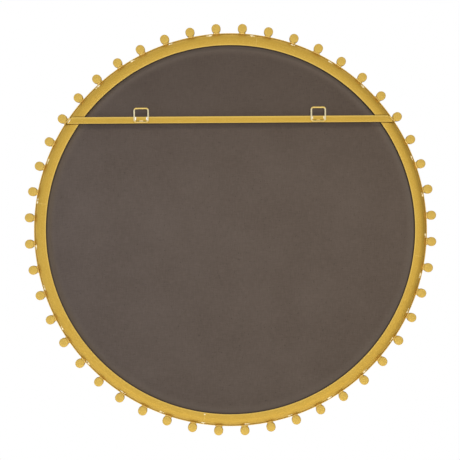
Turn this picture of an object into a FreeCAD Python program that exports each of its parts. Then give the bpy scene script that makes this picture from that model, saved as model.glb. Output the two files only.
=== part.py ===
import FreeCAD, Part
import math
import os

import Sketcher
from FreeCAD import Placement, Rotation, Vector

# A round wall mirror with beads round its edge. A strip hoop and a bent flange make a shallow tray,
# open to the front, and the board and the glass are laid into it and bonded. A flat bar with two wire
# loops is welded across the back of the flange.
#
# +Z is up, the glass looks along -Y, and the wall is the plane y = 0, which the loops touch. The origin
# is the mirror's middle on that plane. Left and right are as seen from behind, so left is +X.

# Driving sizes in millimetres, and one angle in degrees: name, value, what it is.
SIZES = (
    ("rim_outer_radius", 388.0, "outer face of the hoop"),
    ("rim_thickness", 1.5, "wall of the hoop"),
    ("rim_stand", 1.6, "hoop's back edge, behind the end of the flange's crown"),
    ("rim_lip", 3.0, "hoop's front edge, in front of the glass"),
    ("rim_edge_round", 0.6, "rounding of the hoop's edges"),
    ("flange_flat", 8.5, "width of the flange's flat part"),
    ("flange_thickness", 2.0, "sheet of the flange"),
    ("flange_skirt", 2.0, "straight wall of the flange below its crown"),
    ("crown_radius", 16.5, "outside radius of the flange's rounded part"),
    ("crown_turn", 61.5, "angle through which the rounded part turns"),
    ("board_thickness", 5.0, "backing board"),
    ("board_clearance", 0.8, "gap between the board's edge and the hoop"),
    ("glass_thickness", 4.0, "mirror glass"),
    ("glass_clearance", 1.5, "gap between the glass's edge and the hoop"),
    ("glass_arris", 1.0, "ground edge of the glass"),
    ("dab_radius", 30.0, "adhesive dab between board and glass"),
    ("dab_thickness", 1.0, "thickness of the dabs"),
    ("dab_inset", 75.0, "middle of an outer dab, inwards from the glass's edge"),
    ("sealant_width", 6.0, "sealant on the board's back"),
    ("sealant_step", 0.8, "top of the sealant, below the flange's crown"),
    ("bead_diameter", 18.0, "edge bead"),
    ("bead_length", 18.0, "edge bead, from back to front"),
    ("bead_flat_radius", 2.0, "flat middle of a bead's rounded front"),
    ("bead_edge_round", 0.8, "rounding of a bead's back edge"),
    ("bead_setback", 2.0, "bead's back, below the flange's back"),
    ("bead_weld_gap", 0.3, "least gap between bead and hoop, filled by the weld"),
    ("bead_weld_width", 9.0, "width of a bead's weld along the hoop"),
    ("bead_weld_length", 5.0, "length of a bead's weld from back to front"),
    ("bead_weld_inset", 0.5, "start of a bead's weld, below the hoop's back edge"),
    ("tack_length", 5.0, "tack weld along the hoop"),
    ("tack_leg", 4.5, "tack weld on the flange, inwards from the hoop"),
    ("tack_throat", 1.8, "thickness of a tack weld over the middle of its leg"),
    ("bar_height", 216.5, "middle line of the bar above the mirror's middle"),
    ("bar_width", 12.7, "hanging bar"),
    ("bar_thickness", 3.0, "hanging bar"),
    ("bar_edge_round", 0.5, "rounding of the bar's long edges"),
    ("bar_end_inset", 3.5, "end of the bar, inwards from the hoop"),
    ("bar_weld_step", 0.8, "weld at the bar's end, below the bar's back"),
    ("bar_weld_margin", 0.9, "weld at the bar's end, inwards from the hoop"),
    ("bar_weld_reach", 3.0, "weld at the bar's end, in under the bar"),
    ("wire_diameter", 3.2, "wire of the hang loops"),
    ("loop_width", 27.3, "hang loop, between the middles of its side wires"),
    ("loop_height", 26.8, "hang loop, between the middles of its upper and lower wires"),
    ("loop_corner", 4.0, "corner of the wire, at its middle line"),
    ("loop_drop", 4.1, "lower wire, below the bar's middle line"),
    ("loop_spacing", 348.0, "between the middles of the two loops"),
    ("loop_weld_length", 5.9, "tack weld along a loop's wire"),
    ("loop_weld_leg", 3.2, "tack weld on the bar, from the wire's middle line"),
    ("loop_weld_rise", 2.9, "middle of the side tacks, above the bar's middle line"),
)

BEAD_COUNT = 48
BEAD_PITCH = 360 / BEAD_COUNT
OUTER_DABS = 8

# Runs of tack welds: angle of the first one, clockwise from the top as seen from behind, pitch and count.
# The ends of the bar part the first two runs.
TACK_RUNS = ((317.8, 12.2, 8), (68.5, 11.7, 5), (124.3, 12.84, 14))

# The tack welds of a loop's wire lie on it between these angles below its middle, in degrees.
WELD_ROOT_ANGLE = 66
WELD_TOE_ANGLE = 20

# Radii from the mirror's axis.
RIM_INNER = "(sizes.rim_outer_radius - sizes.rim_thickness)"
CROWN_WIDTH = "(sizes.crown_radius * sin(sizes.crown_turn * 1 deg))"
CROWN_START = f"({RIM_INNER} - {CROWN_WIDTH})"
FLANGE_INNER = f"({CROWN_START} - sizes.flange_flat)"
SKIRT_INNER = f"({RIM_INNER} - sizes.flange_thickness)"
BOARD_RADIUS = f"({RIM_INNER} - sizes.board_clearance)"
GLASS_RADIUS = f"({RIM_INNER} - sizes.glass_clearance)"
BAR_END = f"({RIM_INNER} - sizes.bar_end_inset)"
BEAD_RADIUS = "(sizes.bead_diameter / 2)"
BEAD_CIRCLE = f"(sizes.rim_outer_radius + sizes.bead_weld_gap + {BEAD_RADIUS})"

# Levels along Y, from the wall forwards.
WIRE_MIDDLE = "(-sizes.wire_diameter / 2)"
BAR_BACK = "(-sizes.wire_diameter)"
FLANGE_BACK = f"({BAR_BACK} - sizes.bar_thickness)"
CROWN_MIDDLE = f"({FLANGE_BACK} - sizes.crown_radius)"
CROWN_END = f"({CROWN_MIDDLE} + sizes.crown_radius * cos(sizes.crown_turn * 1 deg))"
BOARD_SEAT = f"({CROWN_END} - sizes.flange_skirt)"
BOARD_FRONT = f"({BOARD_SEAT} - sizes.board_thickness)"
GLASS_BACK = f"({BOARD_FRONT} - sizes.dab_thickness)"
GLASS_FRONT = f"({GLASS_BACK} - sizes.glass_thickness)"
RIM_BACK = f"({CROWN_END} + sizes.rim_stand)"
RIM_FRONT = f"({GLASS_FRONT} - sizes.rim_lip)"
BEAD_BACK = f"({FLANGE_BACK} - sizes.bead_setback)"

ORIGIN_POINT = (-1, 1)
ACROSS_AXIS = -1
UP_AXIS = -2
START, END, CENTRE = range(1, 4)
HALF_TURN = 180
QUARTER_TURN = 90
ABOUT_Y = Vector(0, 1, 0)
SKETCH_NORMAL = Vector(0, 0, 1)
TOLERANCE = 1e-4

doc = FreeCAD.newDocument("round_mirror")
sizes = doc.addObject("Spreadsheet::Sheet", "sizes")


def fill_sheet():
    for row, (alias, value, meaning) in enumerate(SIZES, start=1):
        sizes.set(f"A{row}", alias)
        sizes.set(f"B{row}", str(value))
        sizes.setAlias(f"B{row}", alias)
        sizes.set(f"C{row}", meaning)
    doc.recompute()


def number(expression):
    """The present value of an expression."""
    return float(sizes.evalExpression(expression))


def bind(thing, path, expression):
    """Ties a property of a feature to the sheet."""
    thing.setExpression(path, expression)


def new_body(label):
    body = doc.addObject("PartDesign::Body", label)
    body.Label = label
    return body


def origin_feature(body, role):
    return next(f for f in body.Origin.OriginFeatures if f.Role == role)


def new_sketch(body, name, plane, level=None):
    """A sketch on one of the body's own planes. A level moves one on the XZ plane along Y."""
    sketch = body.newObject("Sketcher::SketchObject", name)
    sketch.AttachmentSupport = [(origin_feature(body, plane), "")]
    sketch.MapMode = "FlatFace"
    if level:
        bind(sketch, "AttachmentOffset.Base.z", f"-{level}")
    return sketch


def measure(sketch, kind, expression, *geometry):
    """A dimension in a sketch, bound to an expression."""
    index = sketch.addConstraint(Sketcher.Constraint(kind, *geometry, number(expression)))
    bind(sketch, f"Constraints[{index}]", expression)


def fix_across(sketch, geometry, point, expression):
    measure(sketch, "DistanceX", expression, *ORIGIN_POINT, geometry, point)


def fix_up(sketch, geometry, point, expression):
    measure(sketch, "DistanceY", expression, *ORIGIN_POINT, geometry, point)


def fix_point(sketch, geometry, point, across, up):
    """Holds a point of a sketch by its two distances from the origin."""
    for axis, fix, expression in ((UP_AXIS, fix_across, across), (ACROSS_AXIS, fix_up, up)):
        if expression == "0":
            sketch.addConstraint(Sketcher.Constraint("PointOnObject", geometry, point, axis))
        else:
            fix(sketch, geometry, point, expression)


def join(sketch, *pairs):
    """Joins ends of lines and arcs: each pair is (geometry, point, geometry, point)."""
    sketch.addConstraint([Sketcher.Constraint("Coincident", *pair) for pair in pairs])


def draw_polygon(sketch, corners):
    """A closed outline of straight sides through corners given as pairs of expressions."""
    points = [Vector(number(across), number(up), 0) for across, up in corners]
    count = len(points)
    for index, point in enumerate(points):
        sketch.addGeometry(Part.LineSegment(point, points[(index + 1) % count]), False)
    for index, (across, up) in enumerate(corners):
        join(sketch, (index, END, (index + 1) % count, START))
        fix_point(sketch, index, START, across, up)


def draw_circle(sketch, radius, across="0", up="0"):
    centre = Vector(number(across), number(up), 0)
    circle = sketch.addGeometry(Part.Circle(centre, SKETCH_NORMAL, number(radius)), False)
    fix_point(sketch, circle, CENTRE, across, up)
    measure(sketch, "Radius", radius, circle)


def add_arc(sketch, centre, radius, start, end):
    """An arc about a centre, anticlockwise from one angle to the other, in radians."""
    circle = Part.Circle(centre, SKETCH_NORMAL, radius)
    return sketch.addGeometry(Part.ArcOfCircle(circle, start, end), False)


def pad(body, sketch, length, name="pad"):
    feature = body.newObject("PartDesign::Pad", name)
    feature.Profile = sketch
    bind(feature, "Length", length)
    return feature


def revolve(body, sketch, angle=None):
    """Turns a section about the mirror's axis, all the way round or by an angle about the section."""
    feature = body.newObject("PartDesign::Revolution", "turned")
    feature.Profile = sketch
    feature.ReferenceAxis = (sketch, ["V_Axis"])
    feature.Angle = 360
    if angle:
        feature.Midplane = True
        bind(feature, "Angle", angle)
    return feature


def repeat(body, feature, count, name="repeated"):
    """Repeats a feature evenly round the mirror's axis."""
    pattern = body.newObject("PartDesign::PolarPattern", name)
    pattern.Originals = [feature]
    pattern.Axis = (origin_feature(body, "Y_Axis"), [""])
    pattern.Angle = 360
    pattern.Occurrences = count
    body.Tip = pattern
    return pattern


def dress(body, kind, base, edges, path, expression, name):
    """A fillet or chamfer of one size on named edges."""
    feature = body.newObject(kind, name)
    feature.Base = (base, edges)
    bind(feature, path, expression)
    body.Tip = feature
    return feature


def ring_edges(feature, *levels):
    """The names of a turned feature's circular edges that lie at the given levels along Y."""
    doc.recompute()
    wanted = [number(level) for level in levels]
    names = []
    for index, edge in enumerate(feature.Shape.Edges, start=1):
        box = edge.BoundBox
        if box.YLength < TOLERANCE and any(abs(box.YMin - level) < TOLERANCE for level in wanted):
            names.append(f"Edge{index}")
    return names


def long_edges(feature):
    """The names of the bar's straight edges."""
    doc.recompute()
    return [
        f"Edge{index}"
        for index, edge in enumerate(feature.Shape.Edges, start=1)
        if edge.BoundBox.ZLength < TOLERANCE and edge.BoundBox.YLength < TOLERANCE
    ]


def clock_rotation(angle):
    """Turns what is drawn along +X to an angle clockwise from the top, as seen from behind."""
    return Rotation(ABOUT_Y, -QUARTER_TURN - angle)


def make_rim_hoop():
    body = new_body("rim_hoop")
    section = new_sketch(body, "rim_section", "XY_Plane")
    inner, outer = RIM_INNER, "sizes.rim_outer_radius"
    draw_polygon(section, ((inner, RIM_BACK), (outer, RIM_BACK), (outer, RIM_FRONT), (inner, RIM_FRONT)))
    strip = revolve(body, section)
    edges = ring_edges(strip, RIM_BACK, RIM_FRONT)
    dress(body, "PartDesign::Fillet", strip, edges, "Radius", "sizes.rim_edge_round", "rounded_edges")
    return body


def make_back_flange():
    """The bent ring: flat, then a crown that turns forwards, then a skirt that the board sits on."""
    body = new_body("back_flange")
    section = new_sketch(body, "flange_section", "XY_Plane")
    hole, bend, outer, inner = (number(r) for r in (FLANGE_INNER, CROWN_START, RIM_INNER, SKIRT_INNER))
    back, middle, seat = (number(level) for level in (FLANGE_BACK, CROWN_MIDDLE, BOARD_SEAT))
    outside = number("sizes.crown_radius")
    inside = outside - number("sizes.flange_thickness")
    front = middle + inside
    outside_end = math.acos((outer - bend) / outside)
    inside_end = math.acos((inner - bend) / inside)
    outside_level = middle + outside * math.sin(outside_end)
    inside_level = middle + inside * math.sin(inside_end)
    centre = Vector(bend, middle, 0)

    def line(x_start, y_start, x_end, y_end):
        segment = Part.LineSegment(Vector(x_start, y_start, 0), Vector(x_end, y_end, 0))
        return section.addGeometry(segment, False)

    flat_back = line(hole, back, bend, back)
    crown_back = add_arc(section, centre, outside, outside_end, math.pi / 2)
    skirt_outer = line(outer, outside_level, outer, seat)
    skirt_end = line(outer, seat, inner, seat)
    skirt_inner = line(inner, seat, inner, inside_level)
    crown_front = add_arc(section, centre, inside, inside_end, math.pi / 2)
    flat_front = line(bend, front, hole, front)
    hole_edge = line(hole, front, hole, back)
    join(
        section,
        (crown_back, START, skirt_outer, START),
        (skirt_outer, END, skirt_end, START),
        (skirt_end, END, skirt_inner, START),
        (skirt_inner, END, crown_front, START),
        (flat_front, END, hole_edge, START),
        (hole_edge, END, flat_back, START),
        (crown_back, CENTRE, crown_front, CENTRE),
    )
    section.addConstraint(
        [
            Sketcher.Constraint("Tangent", flat_back, END, crown_back, END),
            Sketcher.Constraint("Tangent", flat_front, START, crown_front, END),
        ]
    )
    for side in (flat_back, skirt_end, flat_front):
        section.addConstraint(Sketcher.Constraint("Horizontal", side))
    for side in (skirt_outer, skirt_inner, hole_edge):
        section.addConstraint(Sketcher.Constraint("Vertical", side))
    fix_point(section, flat_back, START, FLANGE_INNER, FLANGE_BACK)
    fix_across(section, flat_back, END, CROWN_START)
    measure(section, "Radius", "sizes.crown_radius", crown_back)
    fix_point(section, skirt_end, START, RIM_INNER, BOARD_SEAT)
    fix_across(section, skirt_end, END, SKIRT_INNER)
    fix_up(section, flat_front, END, f"{FLANGE_BACK} - sizes.flange_thickness")
    revolve(body, section)
    return body


def make_backing_board():
    body = new_body("backing_board")
    outline = new_sketch(body, "board_outline", "XZ_Plane", BOARD_SEAT)
    draw_circle(outline, BOARD_RADIUS)
    pad(body, outline, "sizes.board_thickness")
    return body


def make_mirror_glass():
    body = new_body("mirror_glass")
    outline = new_sketch(body, "glass_outline", "XZ_Plane", GLASS_BACK)
    draw_circle(outline, GLASS_RADIUS)
    disc = pad(body, outline, "sizes.glass_thickness")
    edges = ring_edges(disc, GLASS_BACK, GLASS_FRONT)
    dress(body, "PartDesign::Chamfer", disc, edges, "Size", "sizes.glass_arris", "ground_edges")
    return body


def make_mirror_adhesive():
    """One dab in the middle and a circle of them near the glass's edge."""
    body = new_body("mirror_adhesive")
    middle = new_sketch(body, "middle_dab", "XZ_Plane", BOARD_FRONT)
    draw_circle(middle, "sizes.dab_radius")
    pad(body, middle, "sizes.dab_thickness", "middle_pad")
    outer = new_sketch(body, "outer_dab", "XZ_Plane", BOARD_FRONT)
    draw_circle(outer, "sizes.dab_radius", up=f"{GLASS_RADIUS} - sizes.dab_inset")
    repeat(body, pad(body, outer, "sizes.dab_thickness", "outer_pad"), OUTER_DABS)
    return body


def make_board_sealant():
    """A low fillet of sealant in the corner between the board and the flange's skirt."""
    body = new_body("board_sealant")
    section = new_sketch(body, "sealant_section", "XY_Plane")
    top = f"{CROWN_END} - sizes.sealant_step"
    toe = f"{SKIRT_INNER} - sizes.sealant_width"
    draw_polygon(section, ((SKIRT_INNER, BOARD_SEAT), (SKIRT_INNER, top), (toe, BOARD_SEAT)))
    revolve(body, section)
    return body


def make_edge_bead(number_in_ring):
    """A round slug with a flat back and a rounded front, counted clockwise from the top from behind."""
    body = new_body(f"edge_bead_{number_in_ring:02d}")
    outline = new_sketch(body, "bead_outline", "XZ_Plane", BEAD_BACK)
    draw_circle(outline, BEAD_RADIUS)
    slug = pad(body, outline, "sizes.bead_length")
    front_level = f"({BEAD_BACK} - sizes.bead_length)"
    front_round = f"{BEAD_RADIUS} - sizes.bead_flat_radius"
    front_edges = ring_edges(slug, front_level)
    front = dress(body, "PartDesign::Fillet", slug, front_edges, "Radius", front_round, "round_front")
    back_edges = ring_edges(front, BEAD_BACK)
    dress(body, "PartDesign::Fillet", front, back_edges, "Radius", "sizes.bead_edge_round", "round_back")
    angle = (number_in_ring - 0.5) * BEAD_PITCH
    bind(body, "Placement.Base.x", f"-{BEAD_CIRCLE} * sin({angle} * 1 deg)")
    bind(body, "Placement.Base.z", f"{BEAD_CIRCLE} * cos({angle} * 1 deg)")
    return body


def make_bead_welds():
    """A saddle of weld between each bead and the hoop, drawn at the top of the mirror."""
    body = new_body("bead_welds")
    section = new_sketch(body, "saddle", "XZ_Plane", f"({RIM_BACK} - sizes.bead_weld_inset)")
    half, rim = (number(value) for value in ("sizes.bead_weld_width / 2", "sizes.rim_outer_radius"))
    bead, up = (number(value) for value in (BEAD_RADIUS, BEAD_CIRCLE))
    lean = math.acos(half / rim)
    hang = math.asin(half / bead)
    on_rim = add_arc(section, Vector(0, 0, 0), rim, lean, math.pi - lean)
    on_bead = add_arc(section, Vector(0, up, 0), bead, -math.pi / 2 - hang, -math.pi / 2 + hang)
    low = rim * math.sin(lean)
    high = up - bead * math.cos(hang)
    left = section.addGeometry(Part.LineSegment(Vector(-half, low, 0), Vector(-half, high, 0)), False)
    right = section.addGeometry(Part.LineSegment(Vector(half, low, 0), Vector(half, high, 0)), False)
    join(
        section,
        (on_rim, START, right, START),
        (on_rim, END, left, START),
        (on_bead, START, left, END),
        (on_bead, END, right, END),
    )
    for side, across in ((left, "-sizes.bead_weld_width / 2"), (right, "sizes.bead_weld_width / 2")):
        section.addConstraint(Sketcher.Constraint("Vertical", side))
        fix_across(section, side, START, across)
    fix_point(section, on_rim, CENTRE, "0", "0")
    fix_point(section, on_bead, CENTRE, "0", BEAD_CIRCLE)
    measure(section, "Radius", "sizes.rim_outer_radius", on_rim)
    measure(section, "Radius", BEAD_RADIUS, on_bead)
    repeat(body, pad(body, section, "sizes.bead_weld_length"), BEAD_COUNT)
    body.Placement = Placement(Vector(), Rotation(ABOUT_Y, BEAD_PITCH / 2))
    return body


def draw_on_crown(sketch, inner, outer, corners):
    """An outline that lies on the crown between two radii and is closed by straight sides.

    The corners, from the outer end of the arc round to its inner end, are pairs of expressions.
    """
    bend, middle, radius = (number(value) for value in (CROWN_START, CROWN_MIDDLE, "sizes.crown_radius"))
    low, high = (math.acos((number(end) - bend) / radius) for end in (outer, inner))
    arc = add_arc(sketch, Vector(bend, middle, 0), radius, low, high)
    ends = [Vector(bend + radius * math.cos(a), middle + radius * math.sin(a), 0) for a in (low, high)]
    points = [ends[0], *(Vector(number(x), number(y), 0) for x, y in corners), ends[1]]
    sides = [
        sketch.addGeometry(Part.LineSegment(start, end), False) for start, end in zip(points, points[1:])
    ]
    join(sketch, (arc, START, sides[0], START), (arc, END, sides[-1], END))
    for side, after, (across, up) in zip(sides, sides[1:], corners):
        join(sketch, (side, END, after, START))
        fix_point(sketch, after, START, across, up)
    fix_point(sketch, arc, CENTRE, CROWN_START, CROWN_MIDDLE)
    measure(sketch, "Radius", "sizes.crown_radius", arc)
    fix_across(sketch, arc, START, outer)
    fix_across(sketch, arc, END, inner)


def arc_degrees(length, radius):
    """The angle, in degrees, of a length along a circle."""
    return f"({length}) / ({radius}) * 180 / pi"


def make_tack_run(run, first_angle, pitch, count):
    """Humped tack welds in the groove between the flange's crown and the hoop's back edge."""
    body = new_body(f"tack_run_{run}")
    section = new_sketch(body, "tack_section", "XY_Plane")
    on_rim = f"({RIM_INNER} + sizes.rim_thickness / 2)"
    across = f"({CROWN_WIDTH} - sizes.tack_leg / 2)"
    along = f"sqrt(pow(sizes.crown_radius; 2) - pow({across}; 2))"
    growth = "(1 + sizes.tack_throat / sizes.crown_radius)"
    hump = (f"({CROWN_START} + {across} * {growth})", f"({CROWN_MIDDLE} + {along} * {growth})")
    corners = ((RIM_INNER, RIM_BACK), (on_rim, RIM_BACK), hump)
    draw_on_crown(section, f"({RIM_INNER} - sizes.tack_leg)", RIM_INNER, corners)
    tack = revolve(body, section, arc_degrees("sizes.tack_length", RIM_INNER))
    pattern = repeat(body, tack, count)
    pattern.Mode = "Spacing"
    pattern.Offset = pitch
    pattern.Reversed = True
    body.Placement = Placement(Vector(), clock_rotation(first_angle))
    return body


def make_hanging_bar():
    body = new_body("hanging_bar")
    outline = new_sketch(body, "bar_outline", "XZ_Plane", BAR_BACK)
    low = "(sizes.bar_height - sizes.bar_width / 2)"
    high = "(sizes.bar_height + sizes.bar_width / 2)"
    far = "sizes.rim_outer_radius"
    draw_polygon(outline, ((f"-{far}", low), (far, low), (far, high), (f"-{far}", high)))
    blank = pad(body, outline, "sizes.bar_thickness")
    edges = long_edges(blank)
    rounded = dress(
        body, "PartDesign::Fillet", blank, edges, "Radius", "sizes.bar_edge_round", "rounded_edges"
    )
    doc.recompute()
    ends = new_sketch(body, "end_cuts", "XZ_Plane", BAR_BACK)
    draw_circle(ends, BAR_END)
    draw_circle(ends, "2 * sizes.rim_outer_radius")
    cut = body.newObject("PartDesign::Pocket", "rounded_ends")
    cut.Profile = ends
    cut.Type = "ThroughAll"
    cut.Midplane = True
    body.Tip = cut
    doc.recompute()
    if cut.Shape.Volume >= rounded.Shape.Volume:
        raise RuntimeError("the bar's ends were not cut")
    return body


def make_bar_end_weld(side, towards):
    """A fillet weld between the end of the bar and the crown under it. It fills the gap under the bar."""
    body = new_body(f"bar_end_weld_{side}")
    section = new_sketch(body, "end_weld_section", "XY_Plane")
    under = f"({BAR_END} - sizes.bar_weld_reach)"
    corners = (
        (BAR_END, f"({BAR_BACK} - sizes.bar_weld_step)"),
        (BAR_END, FLANGE_BACK),
        (under, FLANGE_BACK),
    )
    draw_on_crown(section, under, f"({RIM_INNER} - sizes.bar_weld_margin)", corners)
    revolve(body, section, arc_degrees("sizes.bar_width", BAR_END))
    body.Placement = Placement(Vector(), Rotation(ABOUT_Y, QUARTER_TURN))
    rise = f"asin(sizes.bar_height / {BAR_END})"
    bind(body, "Placement.Rotation.Angle", f"-{rise}" if towards > 0 else f"180 deg + {rise}")
    return body


def make_hang_loop(side, towards):
    """A closed square loop of wire with rounded corners, drawn about its own middle line."""
    body = new_body(f"hang_loop_{side}")
    path = new_sketch(body, "wire_path", "XZ_Plane", WIRE_MIDDLE)
    half, corner = number("sizes.loop_width / 2"), number("sizes.loop_corner")
    low = number("sizes.bar_height - sizes.loop_drop")
    high = low + number("sizes.loop_height")
    inner, bottom, top = half - corner, low + corner, high - corner
    straights = (
        ((-inner, high), (inner, high)),
        ((half, top), (half, bottom)),
        ((inner, low), (-inner, low)),
        ((-half, bottom), (-half, top)),
    )
    upper, right, lower, left = (
        path.addGeometry(Part.LineSegment(Vector(*start, 0), Vector(*end, 0)), False)
        for start, end in straights
    )
    quarter = math.pi / 2
    bends = [
        add_arc(path, Vector(x, y, 0), corner, turn * quarter, (turn + 1) * quarter)
        for x, y, turn in ((inner, top, 0), (-inner, top, 1), (-inner, bottom, 2), (inner, bottom, 3))
    ]
    meetings = (
        (right, START, bends[0], START),
        (upper, END, bends[0], END),
        (upper, START, bends[1], START),
        (left, END, bends[1], END),
        (left, START, bends[2], START),
        (lower, END, bends[2], END),
        (lower, START, bends[3], START),
        (right, END, bends[3], END),
    )
    path.addConstraint([Sketcher.Constraint("Tangent", *meeting) for meeting in meetings])
    path.addConstraint([Sketcher.Constraint("Horizontal", wire) for wire in (upper, lower)])
    path.addConstraint([Sketcher.Constraint("Vertical", wire) for wire in (left, right)])
    path.addConstraint([Sketcher.Constraint("Equal", bends[0], bend) for bend in bends[1:]])
    measure(path, "Radius", "sizes.loop_corner", bends[0])
    fix_across(path, right, START, "sizes.loop_width / 2")
    fix_across(path, left, START, "-sizes.loop_width / 2")
    fix_up(path, lower, START, "sizes.bar_height - sizes.loop_drop")
    fix_up(path, upper, START, "sizes.bar_height - sizes.loop_drop + sizes.loop_height")
    section = new_sketch(body, "wire_section", "YZ_Plane")
    wire_height = "(sizes.bar_height - sizes.loop_drop + sizes.loop_height)"
    draw_circle(section, "sizes.wire_diameter / 2", WIRE_MIDDLE, wire_height)
    wire = body.newObject("PartDesign::AdditivePipe", "bent_wire")
    wire.Profile = section
    wire.Spine = path
    bind(body, "Placement.Base.x", f"{towards} * sizes.loop_spacing / 2")
    return body


def make_loop_weld(name, turn, across, up):
    """A tack weld in the corner between a loop's wire and the bar.

    It is drawn on the +X side of a wire that runs along Z, then turned about Y and set in place.
    """
    body = new_body(name)
    section = new_sketch(body, "loop_weld_section", "XY_Plane")
    wire = number("sizes.wire_diameter / 2")
    middle, face, leg = (number(v) for v in (WIRE_MIDDLE, BAR_BACK, "sizes.loop_weld_leg"))
    low, high = -math.radians(WELD_ROOT_ANGLE), -math.radians(WELD_TOE_ANGLE)
    on_wire = add_arc(section, Vector(0, middle, 0), wire, low, high)
    root = Vector(wire * math.cos(low), middle + wire * math.sin(low), 0)
    toe = Vector(wire * math.cos(high), middle + wire * math.sin(high), 0)
    foot, reach = Vector(root.x, face, 0), Vector(leg, face, 0)
    throat, on_bar, slope = (
        section.addGeometry(Part.LineSegment(start, end), False)
        for start, end in ((root, foot), (foot, reach), (reach, toe))
    )
    join(
        section,
        (on_wire, START, throat, START),
        (throat, END, on_bar, START),
        (on_bar, END, slope, START),
        (slope, END, on_wire, END),
    )
    section.addConstraint(Sketcher.Constraint("Vertical", throat))
    fix_point(section, on_wire, CENTRE, "0", WIRE_MIDDLE)
    measure(section, "Radius", "sizes.wire_diameter / 2", on_wire)
    fix_across(section, on_wire, START, f"cos({WELD_ROOT_ANGLE} * 1 deg) * sizes.wire_diameter / 2")
    fix_across(section, on_wire, END, f"cos({WELD_TOE_ANGLE} * 1 deg) * sizes.wire_diameter / 2")
    fix_up(section, on_bar, START, BAR_BACK)
    fix_point(section, on_bar, END, "sizes.loop_weld_leg", BAR_BACK)
    tack = pad(body, section, "sizes.loop_weld_length")
    tack.Midplane = True
    body.Placement = Placement(Vector(), Rotation(ABOUT_Y, turn))
    bind(body, "Placement.Base.x", across)
    bind(body, "Placement.Base.z", up)
    return body


def make_loop_welds(side, towards):
    """Two tacks inside a loop's side wires and one on its lower wire."""
    middle = f"{towards} * sizes.loop_spacing / 2"
    rise = "sizes.bar_height + sizes.loop_weld_rise"
    drop = "sizes.bar_height - sizes.loop_drop"
    places = (
        ("low_x", 0, f"{middle} - sizes.loop_width / 2", rise),
        ("high_x", HALF_TURN, f"{middle} + sizes.loop_width / 2", rise),
        ("lower", -QUARTER_TURN, middle, drop),
    )
    return [make_loop_weld(f"loop_weld_{side}_{name}", *place) for name, *place in places]


def group(label, members):
    """Separate solids of one kind, kept together under one label."""
    compound = doc.addObject("Part::Compound", label)
    compound.Label = label
    compound.Links = members
    return compound


def make_mirror():
    ends = (("left", 1), ("right", -1))
    tacks = [make_tack_run(run, *values) for run, values in enumerate(TACK_RUNS, start=1)]
    end_welds = [make_bar_end_weld(*end) for end in ends]
    loop_welds = [weld for end in ends for weld in make_loop_welds(*end)]
    return [
        make_rim_hoop(),
        make_back_flange(),
        group("flange_tack_welds", tacks),
        make_backing_board(),
        make_board_sealant(),
        make_mirror_adhesive(),
        make_mirror_glass(),
        make_hanging_bar(),
        *(make_hang_loop(*end) for end in ends),
        group("hanger_welds", end_welds + loop_welds),
        *(make_edge_bead(bead) for bead in range(1, BEAD_COUNT + 1)),
        make_bead_welds(),
    ]


def check(parts):
    """Stops if any feature failed or any piece has no sound shape."""
    for thing in doc.Objects:
        if {"Invalid", "Error"} & set(thing.State):
            raise RuntimeError(f"{thing.Label} failed: {thing.State}")
    for piece in parts:
        if piece.Shape.isNull() or not piece.Shape.isValid() or not piece.Shape.Solids:
            raise RuntimeError(f"{piece.Label} has no sound shape")


def write(parts):
    os.makedirs("parts", exist_ok=True)
    for piece in parts:
        piece.Shape.exportStep(os.path.join("parts", f"{piece.Label}.step"))


fill_sheet()
pieces = make_mirror()
doc.recompute()
check(pieces)
write(pieces)
whole = Part.makeCompound([piece.Shape for piece in pieces]).optimalBoundingBox(False)
print(f"{len(pieces)} pieces, {whole.XLength:.1f} x {whole.YLength:.1f} x {whole.ZLength:.1f} mm")
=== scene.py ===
# %% [markdown]
# # A round wall mirror, seen from behind
#
# The mirror hangs on a wall by two wire loops, and this lesson looks at the side that nobody sees: a gold
# ring of bent sheet, a dark board, a flat bar and a circle of small gold slugs. The solid model already gives
# every piece its size and place, so hardly anything is placed by eye. Each piece is modelled again with soft
# edges and lumpy welds, and then gets the finish that the real one has.

# %% Load the solid model
import math
import random

import bmesh
import bpy
from mathutils import Matrix, Vector


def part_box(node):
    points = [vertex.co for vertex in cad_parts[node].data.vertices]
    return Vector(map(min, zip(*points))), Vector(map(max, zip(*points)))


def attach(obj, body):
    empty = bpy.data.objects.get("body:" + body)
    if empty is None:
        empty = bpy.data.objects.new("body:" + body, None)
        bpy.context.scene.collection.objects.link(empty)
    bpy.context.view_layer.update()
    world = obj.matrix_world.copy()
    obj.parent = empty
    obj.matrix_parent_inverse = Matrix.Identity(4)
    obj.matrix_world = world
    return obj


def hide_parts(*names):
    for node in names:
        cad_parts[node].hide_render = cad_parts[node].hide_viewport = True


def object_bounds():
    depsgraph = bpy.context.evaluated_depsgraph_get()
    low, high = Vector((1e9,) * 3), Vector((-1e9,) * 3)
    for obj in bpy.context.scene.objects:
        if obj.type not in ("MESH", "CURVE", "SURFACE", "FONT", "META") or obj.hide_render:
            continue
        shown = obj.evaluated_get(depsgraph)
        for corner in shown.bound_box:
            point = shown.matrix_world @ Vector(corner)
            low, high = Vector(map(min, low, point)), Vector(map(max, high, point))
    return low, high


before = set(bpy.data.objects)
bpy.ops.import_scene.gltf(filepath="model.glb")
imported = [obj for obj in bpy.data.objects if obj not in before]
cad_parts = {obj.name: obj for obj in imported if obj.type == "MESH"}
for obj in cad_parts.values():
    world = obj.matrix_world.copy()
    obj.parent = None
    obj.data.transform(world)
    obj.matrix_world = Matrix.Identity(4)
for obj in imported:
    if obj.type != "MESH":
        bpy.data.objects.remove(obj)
CAD_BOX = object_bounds()
MM = 0.001
scene = bpy.context.scene
print("solid pieces:", len(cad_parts), "box:", [round(side, 4) for side in CAD_BOX[1] - CAD_BOX[0]])

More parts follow.
